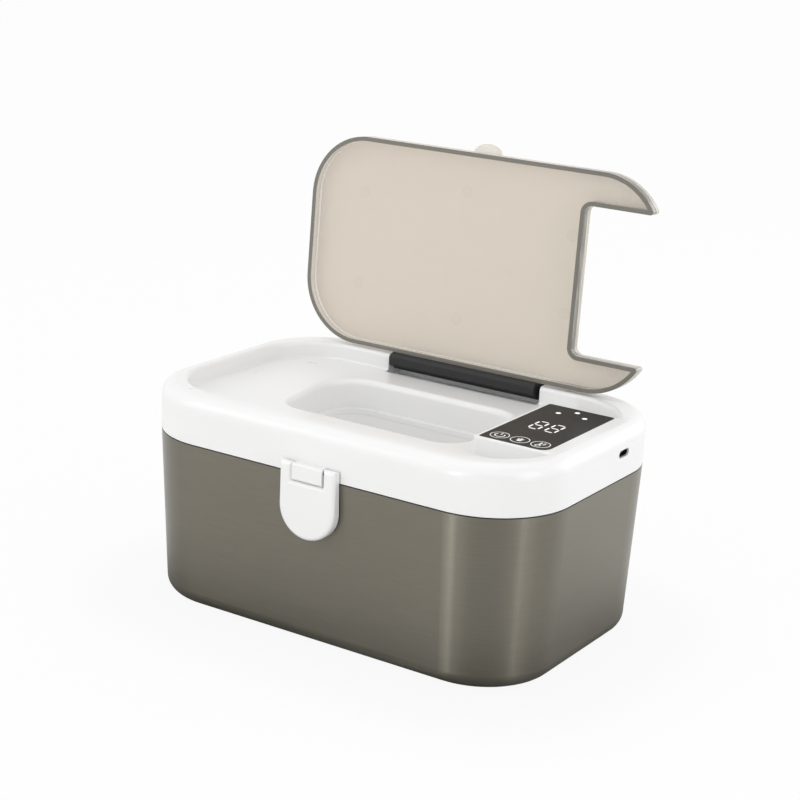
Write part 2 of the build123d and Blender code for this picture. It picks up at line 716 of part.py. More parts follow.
# ------------------------------------------------------------------ heater stack
with BuildPart() as inner_cover:
    with BuildSketch(Plane.XY.offset(cover_z)):
        outline(house_wall + cover_gap)
        add(collar_hole.sketch, mode=Mode.SUBTRACT)
        with Locations(*cover_screw_at):
            Circle(screw_d / 2 + 2 * screw_gap, mode=Mode.SUBTRACT)
        with Locations(lead_at, bead_at):
            Circle(lead_hole_d / 2, mode=Mode.SUBTRACT)
    extrude(amount=cover_t)
inner_cover.part.label = "inner_cover"

with BuildPart() as cover_screws:
    with BuildSketch(Plane.XY.offset(cover_z)):
        with Locations(*cover_screw_at):
            Circle(head_d / 2)
    extrude(amount=-head_t)
    fillet(cover_screws.faces().group_by(Axis.Z)[0].edges(), head_t / 2)
    with BuildSketch(Plane.XY.offset(cover_z)):
        with Locations(*cover_screw_at):
            Circle(screw_d / 2)
    extrude(amount=cover_t + cover_screw_len)
cover_screws.part.label = "cover_screws"

with BuildPart() as heater_plate:
    with BuildSketch(Plane.XY.offset(cover_z - heat_film_t - heater_t)):
        add(heater_plan.sketch)
        add(collar_hole.sketch, mode=Mode.SUBTRACT)
    extrude(amount=heater_t)
heater_plate.part.label = "heater_plate"

with BuildPart() as heating_film:
    with BuildSketch(Plane.XY.offset(cover_z - heat_film_t)):
        add(heater_plan.sketch)
        offset(amount=-heat_film_inset)
        add(film_hole.sketch, mode=Mode.SUBTRACT)
    extrude(amount=heat_film_t)
heating_film.part.label = "heating_film"

with BuildPart() as insulation_pad:
    with BuildSketch(Plane.XY.offset(cover_top)):
        add(heater_plan.sketch)
        offset(amount=-pad_inset)
        add(collar_hole.sketch, mode=Mode.SUBTRACT)
        with Locations(lead_at, bead_at):
            Circle(lead_hole_d / 2, mode=Mode.SUBTRACT)
    extrude(amount=pad_t)
insulation_pad.part.label = "insulation_pad"

with BuildPart() as thermistor:
    with BuildSketch(Plane.XY.offset(cover_z)):
        with Locations(bead_at):
            Circle(bead_d / 2)
    extrude(amount=bead_h)
    with BuildSketch(Plane.XY.offset(cover_z + bead_h)):
        with Locations(bead_at):
            with GridLocations(1, lead_pitch, 1, 2):
                Circle(bead_lead_d / 2)
    extrude(amount=board_z - board_t - cover_z - bead_h)
thermistor.part.label = "thermistor"

with BuildPart() as heater_leads:
    with BuildSketch(Plane.XY.offset(cover_z)):
        with Locations(lead_at):
            with GridLocations(1, lead_pitch, 1, 2):
                Circle(lead_d / 2)
    extrude(amount=board_z - board_t - cover_z)
heater_leads.part.label = "heater_leads"

# ------------------------------------------------------------------ electronics
with BuildPart() as control_board:
    with BuildSketch(Plane.XY.offset(board_z)):
        with Locations(((board_x0 + board_x1) / 2, (board_y0 + board_y1) / 2)):
            RectangleRounded(board_x1 - board_x0, board_y1 - board_y0, film_r)
        with Locations(*standoff_at):
            Circle(board_screw_d / 2 + screw_gap, mode=Mode.SUBTRACT)
    extrude(amount=-board_t)
control_board.part.label = "control_board"

with BuildPart() as board_screws:
    with BuildSketch(Plane.XY.offset(board_z - board_t)):
        with Locations(*standoff_at):
            Circle(board_head_d / 2)
    extrude(amount=-board_head_t)
    with BuildSketch(Plane.XY.offset(usb_board_top - usb_board_t)):
        with Locations((usb_post_x, usb_y)):
            with GridLocations(1, usb_post_pitch, 1, 2):
                Circle(board_head_d / 2)
    extrude(amount=-board_head_t)
    with BuildSketch(Plane.XY.offset(board_z - board_t)):
        with Locations(*standoff_at):
            Circle(board_screw_d / 2)
    extrude(amount=board_t + board_screw_hold)
    with BuildSketch(Plane.XY.offset(usb_board_top - usb_board_t)):
        with Locations((usb_post_x, usb_y)):
            with GridLocations(1, usb_post_pitch, 1, 2):
                Circle(board_screw_d / 2)
    extrude(amount=usb_board_t + board_screw_hold)
board_screws.part.label = "board_screws"

with BuildPart() as controller_chip:
    with BuildSketch(Plane.XY.offset(board_z - board_t)):
        with Locations(chip_at):
            Rectangle(chip_w, chip_w)
    extrude(amount=-chip_t)
    chamfer(controller_chip.faces().sort_by(Axis.Z)[0].edges(), chip_t / 4)
controller_chip.part.label = "controller_chip"

with BuildPart() as digit_display:
    with BuildSketch(Plane.XY.offset(board_z)):
        with Locations(digits_at):
            Rectangle(digits_w, digits_d)
    extrude(amount=block_top - board_z - film_gap)
digit_display.part.label = "digit_display"

with BuildPart() as status_leds:
    with BuildSketch(Plane.XY.offset(board_z)):
        with Locations(*led_at):
            Circle(led_d / 2)
    extrude(amount=block_top - board_z - film_gap)
    fillet(status_leds.faces().group_by(Axis.Z)[-1].edges(), led_d / 3)
status_leds.part.label = "status_leds"

with BuildPart() as touch_pads:
    with BuildSketch(Plane.XY.offset(board_z)):
        with Locations(*touch_at):
            Circle(touch_d / 2)
    extrude(amount=roof_under - board_z)
touch_pads.part.label = "touch_pads"

with BuildPart() as display_film:
    with BuildSketch(Plane.XY.offset(block_top)):
        add(film_plan.sketch)
    extrude(amount=film_t)
display_film.part.label = "display_film"

with BuildPart() as usb_board:
    with BuildSketch(Plane.XY.offset(usb_board_top)):
        with Locations(((usb_board_x + usb_board_x1) / 2, usb_y)):
            Rectangle(usb_board_x1 - usb_board_x, usb_board_w)
        with Locations((usb_post_x, usb_y)):
            with GridLocations(1, usb_post_pitch, 1, 2):
                Circle(board_screw_d / 2 + screw_gap, mode=Mode.SUBTRACT)
    extrude(amount=-usb_board_t)
usb_board.part.label = "usb_board"

usb_front = body_w / 2 - usb_back
with BuildPart() as usb_socket:
    with BuildSketch(Plane.YZ.offset(usb_front)):
        with Locations((usb_y, usb_z)):
            SlotOverall(usb_w, usb_h)
    extrude(amount=-usb_len)
    with BuildSketch(Plane.YZ.offset(usb_front)):
        with Locations((usb_y, usb_z)):
            SlotOverall(usb_w - 2 * usb_shell, usb_h - 2 * usb_shell)
    extrude(amount=-(usb_len - 2 * usb_shell), mode=Mode.SUBTRACT)
    with BuildSketch(Plane.YZ.offset(usb_front - usb_len + usb_shell)):
        with Locations((usb_y, usb_z)):
            Rectangle(usb_tongue_w, usb_tongue_t)
    extrude(amount=usb_tongue_len)
usb_socket.part.label = "usb_socket"

with BuildPart() as usb_leads:
    with BuildSketch(Plane.XY.offset(usb_board_top)):
        with Locations(((usb_board_x + board_x1) / 2, usb_y)):
            with GridLocations(1, usb_lead_pitch, 1, 4):
                Circle(usb_lead_d / 2)
    extrude(amount=board_z - board_t - usb_board_top)
usb_leads.part.label = "usb_leads"

# ------------------------------------------------------------------ lid, drawn closed and placed open
with BuildPart() as lid_panel:
    with BuildSketch(lid_frame.offset(lid_z)):
        add(lid_plan.sketch)
    extrude(amount=lid_h)
    top_face = lid_panel.faces().sort_by(Axis((0, 0, 0), lid_up))[-1]
    fillet(top_face.outer_wire().edges(), lid_top_r)
    with BuildSketch(lid_frame.offset(lid_z)):
        add(lid_plan.sketch)
        offset(amount=-lid_wall)
    extrude(amount=lid_h - lid_wall, mode=Mode.SUBTRACT)
    with BuildSketch(lid_frame.offset(lid_top - tab_t - lid_top_r / 2)):
        with Locations((0, lid_front + lid_wall / 2)):
            Ellipse(tab_half_w, tab_out + lid_wall / 2)
            Rectangle(2 * tab_half_w, 2 * tab_half_w, align=(Align.CENTER, Align.MIN), mode=Mode.SUBTRACT)
    extrude(amount=tab_t)
lid_panel.part.label = "lid_panel"

with BuildPart() as lid_hinge_bar:
    with BuildSketch(lid_side(0)):
        with BuildLine():
            FilletPolyline(
                (lid_rear, hinge_z - bar_below),
                (hinge_y + bar_back, hinge_z - bar_below),
                (hinge_y + bar_back, bar_top),
                (lid_rear, bar_top),
                radius=[bar_nose_r, bar_heel_r, bar_heel_r, bar_heel_r],
                close=True,
            )
        make_face()
        with Locations((hinge_y, hinge_z)):
            Circle(bar_barrel_r)
    extrude(amount=bar_half, both=True)
    with BuildSketch(Plane.YZ):
        with Locations((hinge_y, hinge_z)):
            Circle(hinge_pin_d / 2 + screw_gap)
    extrude(amount=bar_half, both=True, mode=Mode.SUBTRACT)
lid_hinge_bar.part.label = "lid_hinge_bar"

with BuildPart() as lid_hinge_pin:
    with BuildSketch(Plane.YZ):
        with Locations((hinge_y, hinge_z)):
            Circle(hinge_pin_d / 2)
    extrude(amount=lid_pin_half, both=True)
lid_hinge_pin.part.label = "lid_hinge_pin"

# ------------------------------------------------------------------ latch
with BuildSketch() as latch_outline:
    with Locations((0, latch_arc_z)):
        Circle(latch_half)
        Rectangle(2 * latch_half, latch_top - latch_arc_z, align=(Align.CENTER, Align.MIN))
    with Locations((0, latch_web_z)):
        Rectangle(
            2 * (tongue_half_w + tongue_gap), latch_top - latch_web_z,
            align=(Align.CENTER, Align.MIN), mode=Mode.SUBTRACT,
        )

with BuildSketch() as latch_hollow:
    with Locations((0, latch_arc_z)):
        Circle(latch_half - latch_wall)
        Rectangle(
            2 * (latch_half - latch_wall), latch_web_z - latch_wall - latch_arc_z,
            align=(Align.CENTER, Align.MIN),
        )

latch_back = -body_d / 2 - latch_back_gap
latch_deep = -body_d / 2 + lean(latch_arc_z - latch_half) - latch_back_gap
with BuildPart() as latch_flap:
    with BuildSketch(Plane.XZ.offset(-latch_face)):
        add(latch_outline.sketch)
    extrude(amount=latch_face - latch_deep)
    fillet(latch_flap.faces().sort_by(Axis.Y)[0].outer_wire().edges(), latch_round)
    # the back stands off the housing wall above and off the leaning base wall below
    with BuildSketch(Plane.YZ):
        with BuildLine():
            Polyline(
                (latch_back, latch_top),
                (latch_back, base_top),
                (latch_deep, latch_arc_z - latch_half),
                (latch_deep, latch_top),
                close=True,
            )
        make_face()
    extrude(amount=latch_half, both=True, mode=Mode.SUBTRACT)
    ear_tops = latch_flap.edges().filter_by_position(Axis.Z, latch_top - touch, latch_top + touch)
    fillet(ear_tops.filter_by(Axis.X).group_by(Axis.Y)[-1], ear_round)
    # hollow behind the face
    with BuildSketch(Plane.XZ.offset(-latch_face - latch_t)):
        add(latch_hollow.sketch)
    extrude(amount=latch_face + latch_t - latch_deep, mode=Mode.SUBTRACT)
    # hook that catches under the ridge of the base
    with BuildSketch(Plane.YZ):
        with BuildLine():
            Polyline(
                (latch_face + latch_t / 2, hook_z + hook_h),
                (latch_face + latch_t + hook_reach, hook_z + hook_h),
                (latch_face + latch_t + hook_reach, hook_z + hook_h / 2),
                (latch_face + latch_t / 2, hook_z - hook_h / 2),
                close=True,
            )
        make_face()
    extrude(amount=hook_half_w, both=True)
    with BuildSketch(Plane.YZ):
        with Locations((latch_axis_y, latch_axis_z)):
            Circle(latch_pin_d / 2 + screw_gap)
    extrude(amount=latch_pin_half + screw_gap, both=True, mode=Mode.SUBTRACT)
latch_flap.part.label = "latch_flap"

with BuildPart() as latch_pin:
    with BuildSketch(Plane.YZ):
        with Locations((latch_axis_y, latch_axis_z)):
            Circle(latch_pin_d / 2)
    extrude(amount=latch_pin_half, both=True)
latch_pin.part.label = "latch_pin"

# ------------------------------------------------------------------ export
export_step(base_shell.part, "parts/base_shell.step")
export_step(base_feet.part, "parts/base_feet.step")
export_step(inner_tub.part, "parts/inner_tub.step")
export_step(tub_seal.part, "parts/tub_seal.step")
export_step(tub_screws.part, "parts/tub_screws.step")
export_step(rear_hinge_pin.part, "parts/rear_hinge_pin.step")
export_step(top_housing.part, "parts/top_housing.step")
export_step(inner_cover.part, "parts/inner_cover.step")
export_step(cover_screws.part, "parts/cover_screws.step")
export_step(heater_plate.part, "parts/heater_plate.step")
export_step(heating_film.part, "parts/heating_film.step")
export_step(insulation_pad.part, "parts/insulation_pad.step")
export_step(thermistor.part, "parts/thermistor.step")
export_step(heater_leads.part, "parts/heater_leads.step")
export_step(control_board.part, "parts/control_board.step")
export_step(board_screws.part, "parts/board_screws.step")
export_step(controller_chip.part, "parts/controller_chip.step")
export_step(digit_display.part, "parts/digit_display.step")
export_step(status_leds.part, "parts/status_leds.step")
export_step(touch_pads.part, "parts/touch_pads.step")
export_step(display_film.part, "parts/display_film.step")
export_step(usb_board.part, "parts/usb_board.step")
export_step(usb_socket.part, "parts/usb_socket.step")
export_step(usb_leads.part, "parts/usb_leads.step")
export_step(lid_panel.part, "parts/lid_panel.step")
export_step(lid_hinge_bar.part, "parts/lid_hinge_bar.step")
export_step(lid_hinge_pin.part, "parts/lid_hinge_pin.step")
export_step(latch_flap.part, "parts/latch_flap.step")
export_step(latch_pin.part, "parts/latch_pin.step")
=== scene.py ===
"""Baby wipe warmer: finishes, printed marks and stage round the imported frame."""

import json
import math
from typing import NamedTuple

import bmesh
import bpy
from mathutils import Matrix, Vector


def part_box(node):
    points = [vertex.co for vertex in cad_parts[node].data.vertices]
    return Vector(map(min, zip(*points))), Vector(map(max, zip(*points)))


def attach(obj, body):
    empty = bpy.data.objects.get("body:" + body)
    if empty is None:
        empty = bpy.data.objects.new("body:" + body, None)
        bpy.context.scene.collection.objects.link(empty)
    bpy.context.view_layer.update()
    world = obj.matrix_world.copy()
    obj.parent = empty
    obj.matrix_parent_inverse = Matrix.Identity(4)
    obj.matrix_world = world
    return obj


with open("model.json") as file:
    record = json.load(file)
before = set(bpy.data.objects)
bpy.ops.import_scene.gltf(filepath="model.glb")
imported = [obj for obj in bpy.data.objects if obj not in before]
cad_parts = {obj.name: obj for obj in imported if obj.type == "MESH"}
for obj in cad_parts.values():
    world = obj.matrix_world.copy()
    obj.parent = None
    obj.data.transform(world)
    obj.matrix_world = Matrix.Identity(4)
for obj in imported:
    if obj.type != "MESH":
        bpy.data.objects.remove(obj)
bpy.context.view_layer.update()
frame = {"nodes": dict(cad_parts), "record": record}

bl_info = {
    "name": "Wipe warmer",
    "version": (1, 0, 0),
    "blender": (4, 5, 0),
    "location": "View3D > Sidebar > Wipe warmer",
    "description": "Finishes, printed marks and stage of a baby wipe warmer",
    "category": "Object",
}

MM = 0.001
UPRIGHT = math.pi / 2
WHITE = (1.0, 1.0, 1.0)

# Places on the object, in metres. Where two are given, a finish fades in between them.
SEAM = 0.0887                     # height of the joint between the base and the housing
SEAM_SHADE_BAND = (0.0007, 0.0006)      # painted shade of the seam's gap, as a dark band on the base's rim below the seam
BARRELS = (0.0750, 0.0754)        # Y where the rear hinge's barrels begin, which have no painted seam shade
LID_FACE = 0.00176                # inner face of the lid panel, from the hinge line outwards
LID_SKIRT = (0.0003, 0.0001)      # start of the lid's skirt, below that face
LID_HIGHLIGHT_LINE = (0.0022, 0.0014)       # painted highlight, a light line on the skirt, below that face
LID_LIP = -0.00404                # free edge of the skirt, measured as LID_FACE is
LID_LIP_LINE = (0.00005, 0.0003)  # dark edge of the skirt, above the free edge
NOTCH = (0.045, 0.058)            # X from which the skirt is denser, at the lid's notch
EJECTORS = (
    (0.0809, 0.2153), (0.0532, 0.1913), (0.0528, 0.1512), (0.0831, 0.1267),
    (-0.0741, 0.1959), (-0.0741, 0.1465), (-0.0105, 0.2050), (-0.0105, 0.1370),
)                                 # X and Z of the ejector pins' round marks on the open lid
EJECTOR_RADIUS, EJECTOR_BLUR = 0.0028, 0.0005
EJECTOR_DISH = (0.0020, 0.0034)
LID_OPEN = math.radians(93.4)     # from closed to the open rest pose

# The marks on the display film.
KEY_ROW, KEY_COLUMNS = -26.4 * MM, (72.9 * MM, 83.9 * MM, 94.9 * MM)
DIGIT_ROW, DIGIT_LEFTS = -0.5 * MM, (76.1 * MM, 85.0 * MM)
DOTS = ((76.5 * MM, 23.6 * MM), (83.8 * MM, 29.7 * MM), (91.1 * MM, 23.6 * MM))
SEGMENT_ROOM = (2.5, 2.3)         # widths left free beside a segment, across and upright

# Mesh work on the marks.
MERGE = 1e-6                      # vertices closer than this become one
END_FACING = 0.9                  # least X of the normal of a bar's end face
END_WIDTH = 0.15                  # share of a bar's width that is left at its point
DOT_BEVEL = 0.12                  # share of a dot's radius that its inset takes

# The studio.
FLOOR_SIZE, FLOOR_DROP = 8.0, 0.00005
# The floor's second colour is a painted shadow round the object.
FLOOR_COLOUR, FLOOR_PAINTED_SHADOW = (0.82, 0.82, 0.81), (0.30, 0.30, 0.295)
SHADOW_CORE = (0.080, 0.040)       # half sizes of the rectangle that the floor's painted shadow is measured from
SHADOW_FADE = (0.030, 0.110)       # distances from it over which the painted shadow fades into the pale floor
FLOOR_SEEN, FLOOR_MIRRORED = 0.93, 0.30
GAP_EDGE = (0.80, 0.97)           # cosines of the angle from the camera's side, at the gap's edge
SENSOR, CLIP_END = 36.0, 20.0
MIX_FIRST, MIX_SECOND, MIX_RESULT = 6, 7, 2    # colour sockets of a Mix node


class Lamp(NamedTuple):
    """An area lamp in metres, with its share of the softbox power."""

    name: str
    place: tuple
    aim: tuple
    size: tuple
    share: float
    colour: tuple = WHITE


def strip(name, turn, width, share):
    """A narrow upright lamp that stands turn degrees from the front towards the right."""
    away, height, tall = 1.1, 0.22, 0.42
    angle = math.radians(turn)
    place = (away * math.sin(angle), -away * math.cos(angle), height)
    return Lamp(name, place, (0.07, -0.03, 0.05), (width, tall), share)


MIDDLE = (0.0, 0.0, 0.08)
LAMPS = (
    Lamp("overhead", (-0.2, 0.1, 1.5), (0.0, 0.0, 0.1), (1.4, 1.2), 0.43),
    Lamp("left_front", (-1.1, -1.1, 0.9), MIDDLE, (0.7, 0.9), 0.42),
    Lamp("right", (1.5, -0.2, 0.7), MIDDLE, (0.5, 0.9), 0.49),
    Lamp("rear_right", (0.75, 1.15, 0.45), MIDDLE, (0.9, 0.7), 0.50, (0.94, 1.0, 1.0)),
    strip("strip_left", turn=-10.0, width=0.06, share=0.24),
    strip("strip_fill", turn=3.0, width=0.16, share=0.03),
    strip("strip_right", turn=74.0, width=0.08, share=0.08),
)


# ------------------------------------------------------------------ settings
def colour_setting(name, description, default):
    """A colour that shows as a swatch in the sidebar."""
    return bpy.props.FloatVectorProperty(
        name=name, description=description, default=default,
        subtype="COLOR", size=3, min=0.0, max=1.0,
    )


def length_setting(name, description, default):
    """A length in metres."""
    return bpy.props.FloatProperty(
        name=name, description=description, default=default, unit="LENGTH", precision=5, min=0.0,
    )


def share_setting(name, description, default):
    """A share between 0 and 1."""
    return bpy.props.FloatProperty(
        name=name, description=description, default=default, min=0.0, max=1.0, subtype="FACTOR",
    )


class WarmerFinishSettings(bpy.types.PropertyGroup):
    """Colours and gloss of the warmer's pieces."""

    base_lacquer: colour_setting(
        "Base lacquer", "Warm grey metallic of the base", (0.200, 0.186, 0.153)
    )
    base_roughness: share_setting("Base roughness", "How softly the base reflects", 0.34)
    housing_white: colour_setting(
        "Housing white", "Polished housing and latch", (0.87, 0.87, 0.868)
    )
    lid_tint: colour_setting("Lid tint", "Smoke tint of the lid panel", (0.695, 0.608, 0.497))
    lid_wall: colour_setting(
        "Lid skirt", "Tint of the skirt away from the notch", (0.42, 0.395, 0.345)
    )
    lid_edge: colour_setting(
        "Lid edge", "Dark free edge of the lid's skirt", (0.185, 0.176, 0.150)
    )
    bar_grey: colour_setting("Hinge bar", "Hinge bar under the lid", (0.0165, 0.0165, 0.0175))
    film_black: colour_setting(
        "Display film", "Dark film over the display", (0.0115, 0.011, 0.0105)
    )
    print_white: colour_setting(
        "Printed marks", "Key rings, digits and dots on the film", (0.88, 0.88, 0.86)
    )


class WarmerMarkSettings(bpy.types.PropertyGroup):
    """Sizes of the marks printed on the display film."""

    thickness: length_setting("Ink thickness", "How far the marks stand on the film", 0.00005)
    ring_radius: length_setting(
        "Key ring radius", "Outer radius of the ring round each key", 0.0048
    )
    ring_width: length_setting("Ring width", "Width of the ring's line", 0.00042)
    digit_width: length_setting("Digit width", "Width of one digit", 0.0062)
    digit_height: length_setting("Digit height", "Height of one digit", 0.0136)
    segment_width: length_setting("Segment width", "Width of a digit's segment", 0.00092)
    dot_radius: length_setting("Dot radius", "Radius of a status dot", 0.00135)


class WarmerStageSettings(bpy.types.PropertyGroup):
    """Camera and light."""

    azimuth: bpy.props.FloatProperty(
        name="Azimuth", description="Turn of the camera from the front towards the right",
        default=32.84,
    )
    elevation: bpy.props.FloatProperty(
        name="Elevation", description="Tilt above the horizon", default=16.58,
    )
    roll: bpy.props.FloatProperty(
        name="Roll", description="Turn about the line of sight", default=2.61,
    )
    place: bpy.props.FloatVectorProperty(
        name="Place", description="Where the camera stands", default=(0.5024, -0.7797, 0.3857),
        subtype="TRANSLATION", size=3,
    )
    lens: bpy.props.FloatProperty(
        name="Lens", description="Focal length on a 36 mm sensor", default=86.885, unit="CAMERA",
    )
    softbox_power: bpy.props.FloatProperty(
        name="Softbox power", description="Power that each lamp takes its share of",
        default=7.0, unit="POWER",
    )
    sky: bpy.props.FloatProperty(
        name="Sky", description="Level of the surrounding white", default=0.80, min=0.0, max=2.0,
    )
    gap: share_setting("Gap", "How dark the sky is round the camera's side", 0.85)


# ------------------------------------------------------------------ shader maths
class Signal:
    """One socket of a material's nodes, with the arithmetic that joins it to others."""

    def __init__(self, finish, socket):
        self.finish = finish
        self.socket = socket

    def maths(self, operation, *values):
        return self.finish.node(
            "ShaderNodeMath", {"operation": operation}, dict(enumerate(values))
        )

    def __add__(self, other):
        return self.maths("ADD", self, other)

    __radd__ = __add__

    def __sub__(self, other):
        return self.maths("SUBTRACT", self, other)

    def __rsub__(self, other):
        return self.maths("SUBTRACT", other, self)

    def __mul__(self, other):
        return self.maths("MULTIPLY", self, other)

    __rmul__ = __mul__

    def __pow__(self, other):
        return self.maths("POWER", self, other)

    def __abs__(self):
        return self.maths("ABSOLUTE", self)

    def clamp(self):
        return self.finish.node("ShaderNodeClamp", {}, {"Value": self})

    def step(self, low, high):
        """0 below low, 1 above high, smooth between."""
        return self.finish.node(
            "ShaderNodeMapRange", {"interpolation_type": "SMOOTHSTEP"},
            {"Value": self, "From Min": low, "From Max": high},
        )

    def swing(self, width):
        """A signal between 0 and 1, moved to vary about 0 over width."""
        return (self - 0.5) * width


class Finish:
    """A procedural material for one finish."""

    def __init__(self, name):
        self.material = bpy.data.materials.new(name)
        self.material.use_nodes = True
        self.tree = self.material.node_tree
        self.shader = self.tree.nodes["Principled BSDF"]

    def node(self, kind, settings, inputs, output=0):
        """Adds a node, applies its settings, then fills or links its sockets."""
        new = self.tree.nodes.new(kind)
        for key, value in settings.items():
            setattr(new, key, value)
        for key, value in inputs.items():
            self.feed(new.inputs[key], value)
        return Signal(self, new.outputs[output])

    def feed(self, socket, value):
        """Sets a socket, or links a signal to it."""
        if isinstance(value, Signal):
            self.tree.links.new(value.socket, socket)
        elif socket.type == "RGBA":
            socket.default_value = (*value, 1.0)
        else:
            socket.default_value = value

    def set(self, **values):
        """Feeds the surface shader's sockets, named with underscores for spaces."""
        for key, value in values.items():
            self.feed(self.shader.inputs[key.replace("_", " ")], value)

    def place(self):
        """Object coordinates in metres."""
        return self.node("ShaderNodeTexCoord", {}, {}, "Object")

    def axis(self, which):
        """One Object coordinate: 0 for X, 1 for Y, 2 for Z."""
        return self.node("ShaderNodeSeparateXYZ", {}, {"Vector": self.place()}, which)

    def noise(self, scale, detail=2.0, roughness=0.5, stretch=(1.0, 1.0, 1.0)):
        """Noise between 0 and 1, about scale grains to the metre."""
        spread = self.node("ShaderNodeMapping", {}, {"Vector": self.place(), "Scale": stretch})
        return self.node(
            "ShaderNodeTexNoise", {},
            {"Vector": spread, "Scale": scale, "Detail": detail, "Roughness": roughness},
        )

    def stripes(self, pace, low, high):
        """Stripes along Y from a sine across X: 0 where it is below low, 1 above high."""
        wave = self.node("ShaderNodeMath", {"operation": "SINE"}, {0: self.axis(0) * pace})
        return (wave * 0.5 + 0.5).step(low, high)

    def mix(self, factor, first, second):
        """Colour between first and second."""
        return self.node(
            "ShaderNodeMix", {"data_type": "RGBA"},
            {"Factor": factor, MIX_FIRST: first, MIX_SECOND: second}, MIX_RESULT,
        )

    def mottled(self, factor, colour, darkest, lightest=1.0):
        """The colour scaled between darkest and lightest."""
        return self.mix(factor, shade(colour, darkest), shade(colour, lightest))

    def bump(self, height, distance):
        """Normal from a height signal."""
        return self.node("ShaderNodeBump", {}, {"Height": height, "Distance": distance})

    def rays(self):
        """Whether the ray comes from the camera, a reflection or a see-through surface."""
        kinds = ("Is Camera Ray", "Is Glossy Ray", "Is Transmission Ray")
        return [self.node("ShaderNodeLightPath", {}, {}, kind) for kind in kinds]


class Sky(Finish):
    """The studio's surroundings, in the same arithmetic."""

    def __init__(self, name):
        world = bpy.data.worlds.new(name)
        bpy.context.scene.world = world
        world.use_nodes = True
        self.tree = world.node_tree
        self.shader = self.tree.nodes["Background"]


def shade(colour, factor):
    """A colour scaled by factor."""
    return tuple(min(1.0, c * factor) for c in colour)


# ------------------------------------------------------------------ finishes
def moulded(
    name, colour, roughness, coat=0.0, grain=900.0, depth=0.00002, metallic=0.0, vary=0.08,
    shine=0.5,
):
    """Moulded plastic or plain metal with faint flow marks, grain and gloss variation."""
    finish = Finish(name)
    flow = finish.noise(38.0, detail=3.0)
    speck = finish.noise(grain)
    finish.set(
        Base_Color=finish.mottled(flow, colour, 1.0 - vary / 2, 1.0 + vary / 2),
        Roughness=roughness + flow.swing(0.08) + speck.swing(0.06),
        Normal=finish.bump(speck, depth),
        Metallic=metallic,
        Coat_Weight=coat,
        Coat_Roughness=0.20,
        Specular_IOR_Level=shine,
    )
    return finish.material


def lacquer(name, colour, roughness, rim, line=(0.012, 0.012, 0.012)):
    """Warm grey metallic lacquer over brushed lines, with a band of painted shade along the rim
    for the seam's gap.
    """
    finish = Finish(name)
    flake = finish.noise(5200.0, detail=1.0, roughness=0.6)
    cloud = finish.noise(26.0, detail=4.0, roughness=0.55, stretch=(1.0, 1.0, 2.5))
    brushed = finish.noise(1700.0, detail=3.0, roughness=0.6, stretch=(0.03, 0.03, 1.0))
    # Painted shade: the band under the rim is dark and not metallic, standing for the shadow in
    # the seam's gap; the hinge barrels are left out.
    below = finish.axis(2).step(rim - SEAM_SHADE_BAND[0], rim - SEAM_SHADE_BAND[1])
    edge = below * (1.0 - finish.axis(1).step(*BARRELS))
    tone = finish.mottled(cloud, colour, 0.95, 1.05)
    lined = finish.mottled(brushed.step(0.25, 0.75), colour, 0.93, 1.07)
    finish.set(
        Base_Color=finish.mix(edge, finish.mix(0.55, tone, lined), line),
        Roughness=roughness + cloud.swing(0.06) + brushed.swing(0.08),
        Metallic=0.92 - edge * 0.9,
        Coat_Weight=0.06,
        Coat_Roughness=0.25,
        Normal=finish.bump(flake * 0.6 + brushed, 0.000004),
        Anisotropic=0.9,
        Anisotropic_Rotation=0.25,
    )
    return finish.material


def ejector_marks(finish, marks):
    """1 on the round lines that the ejector pins leave, and a part of it inside them."""
    rings = 0.0
    for x, z in marks:
        away = ((finish.axis(0) - x) ** 2.0 + (finish.axis(2) - z) ** 2.0) ** 0.5
        rise = away.step(EJECTOR_RADIUS - EJECTOR_BLUR, EJECTOR_RADIUS)
        fall = away.step(EJECTOR_RADIUS, EJECTOR_RADIUS + EJECTOR_BLUR)
        dish = (1.0 - away.step(*EJECTOR_DISH)) * 0.5
        rings = rise * (1.0 - fall) + dish + rings
    return rings


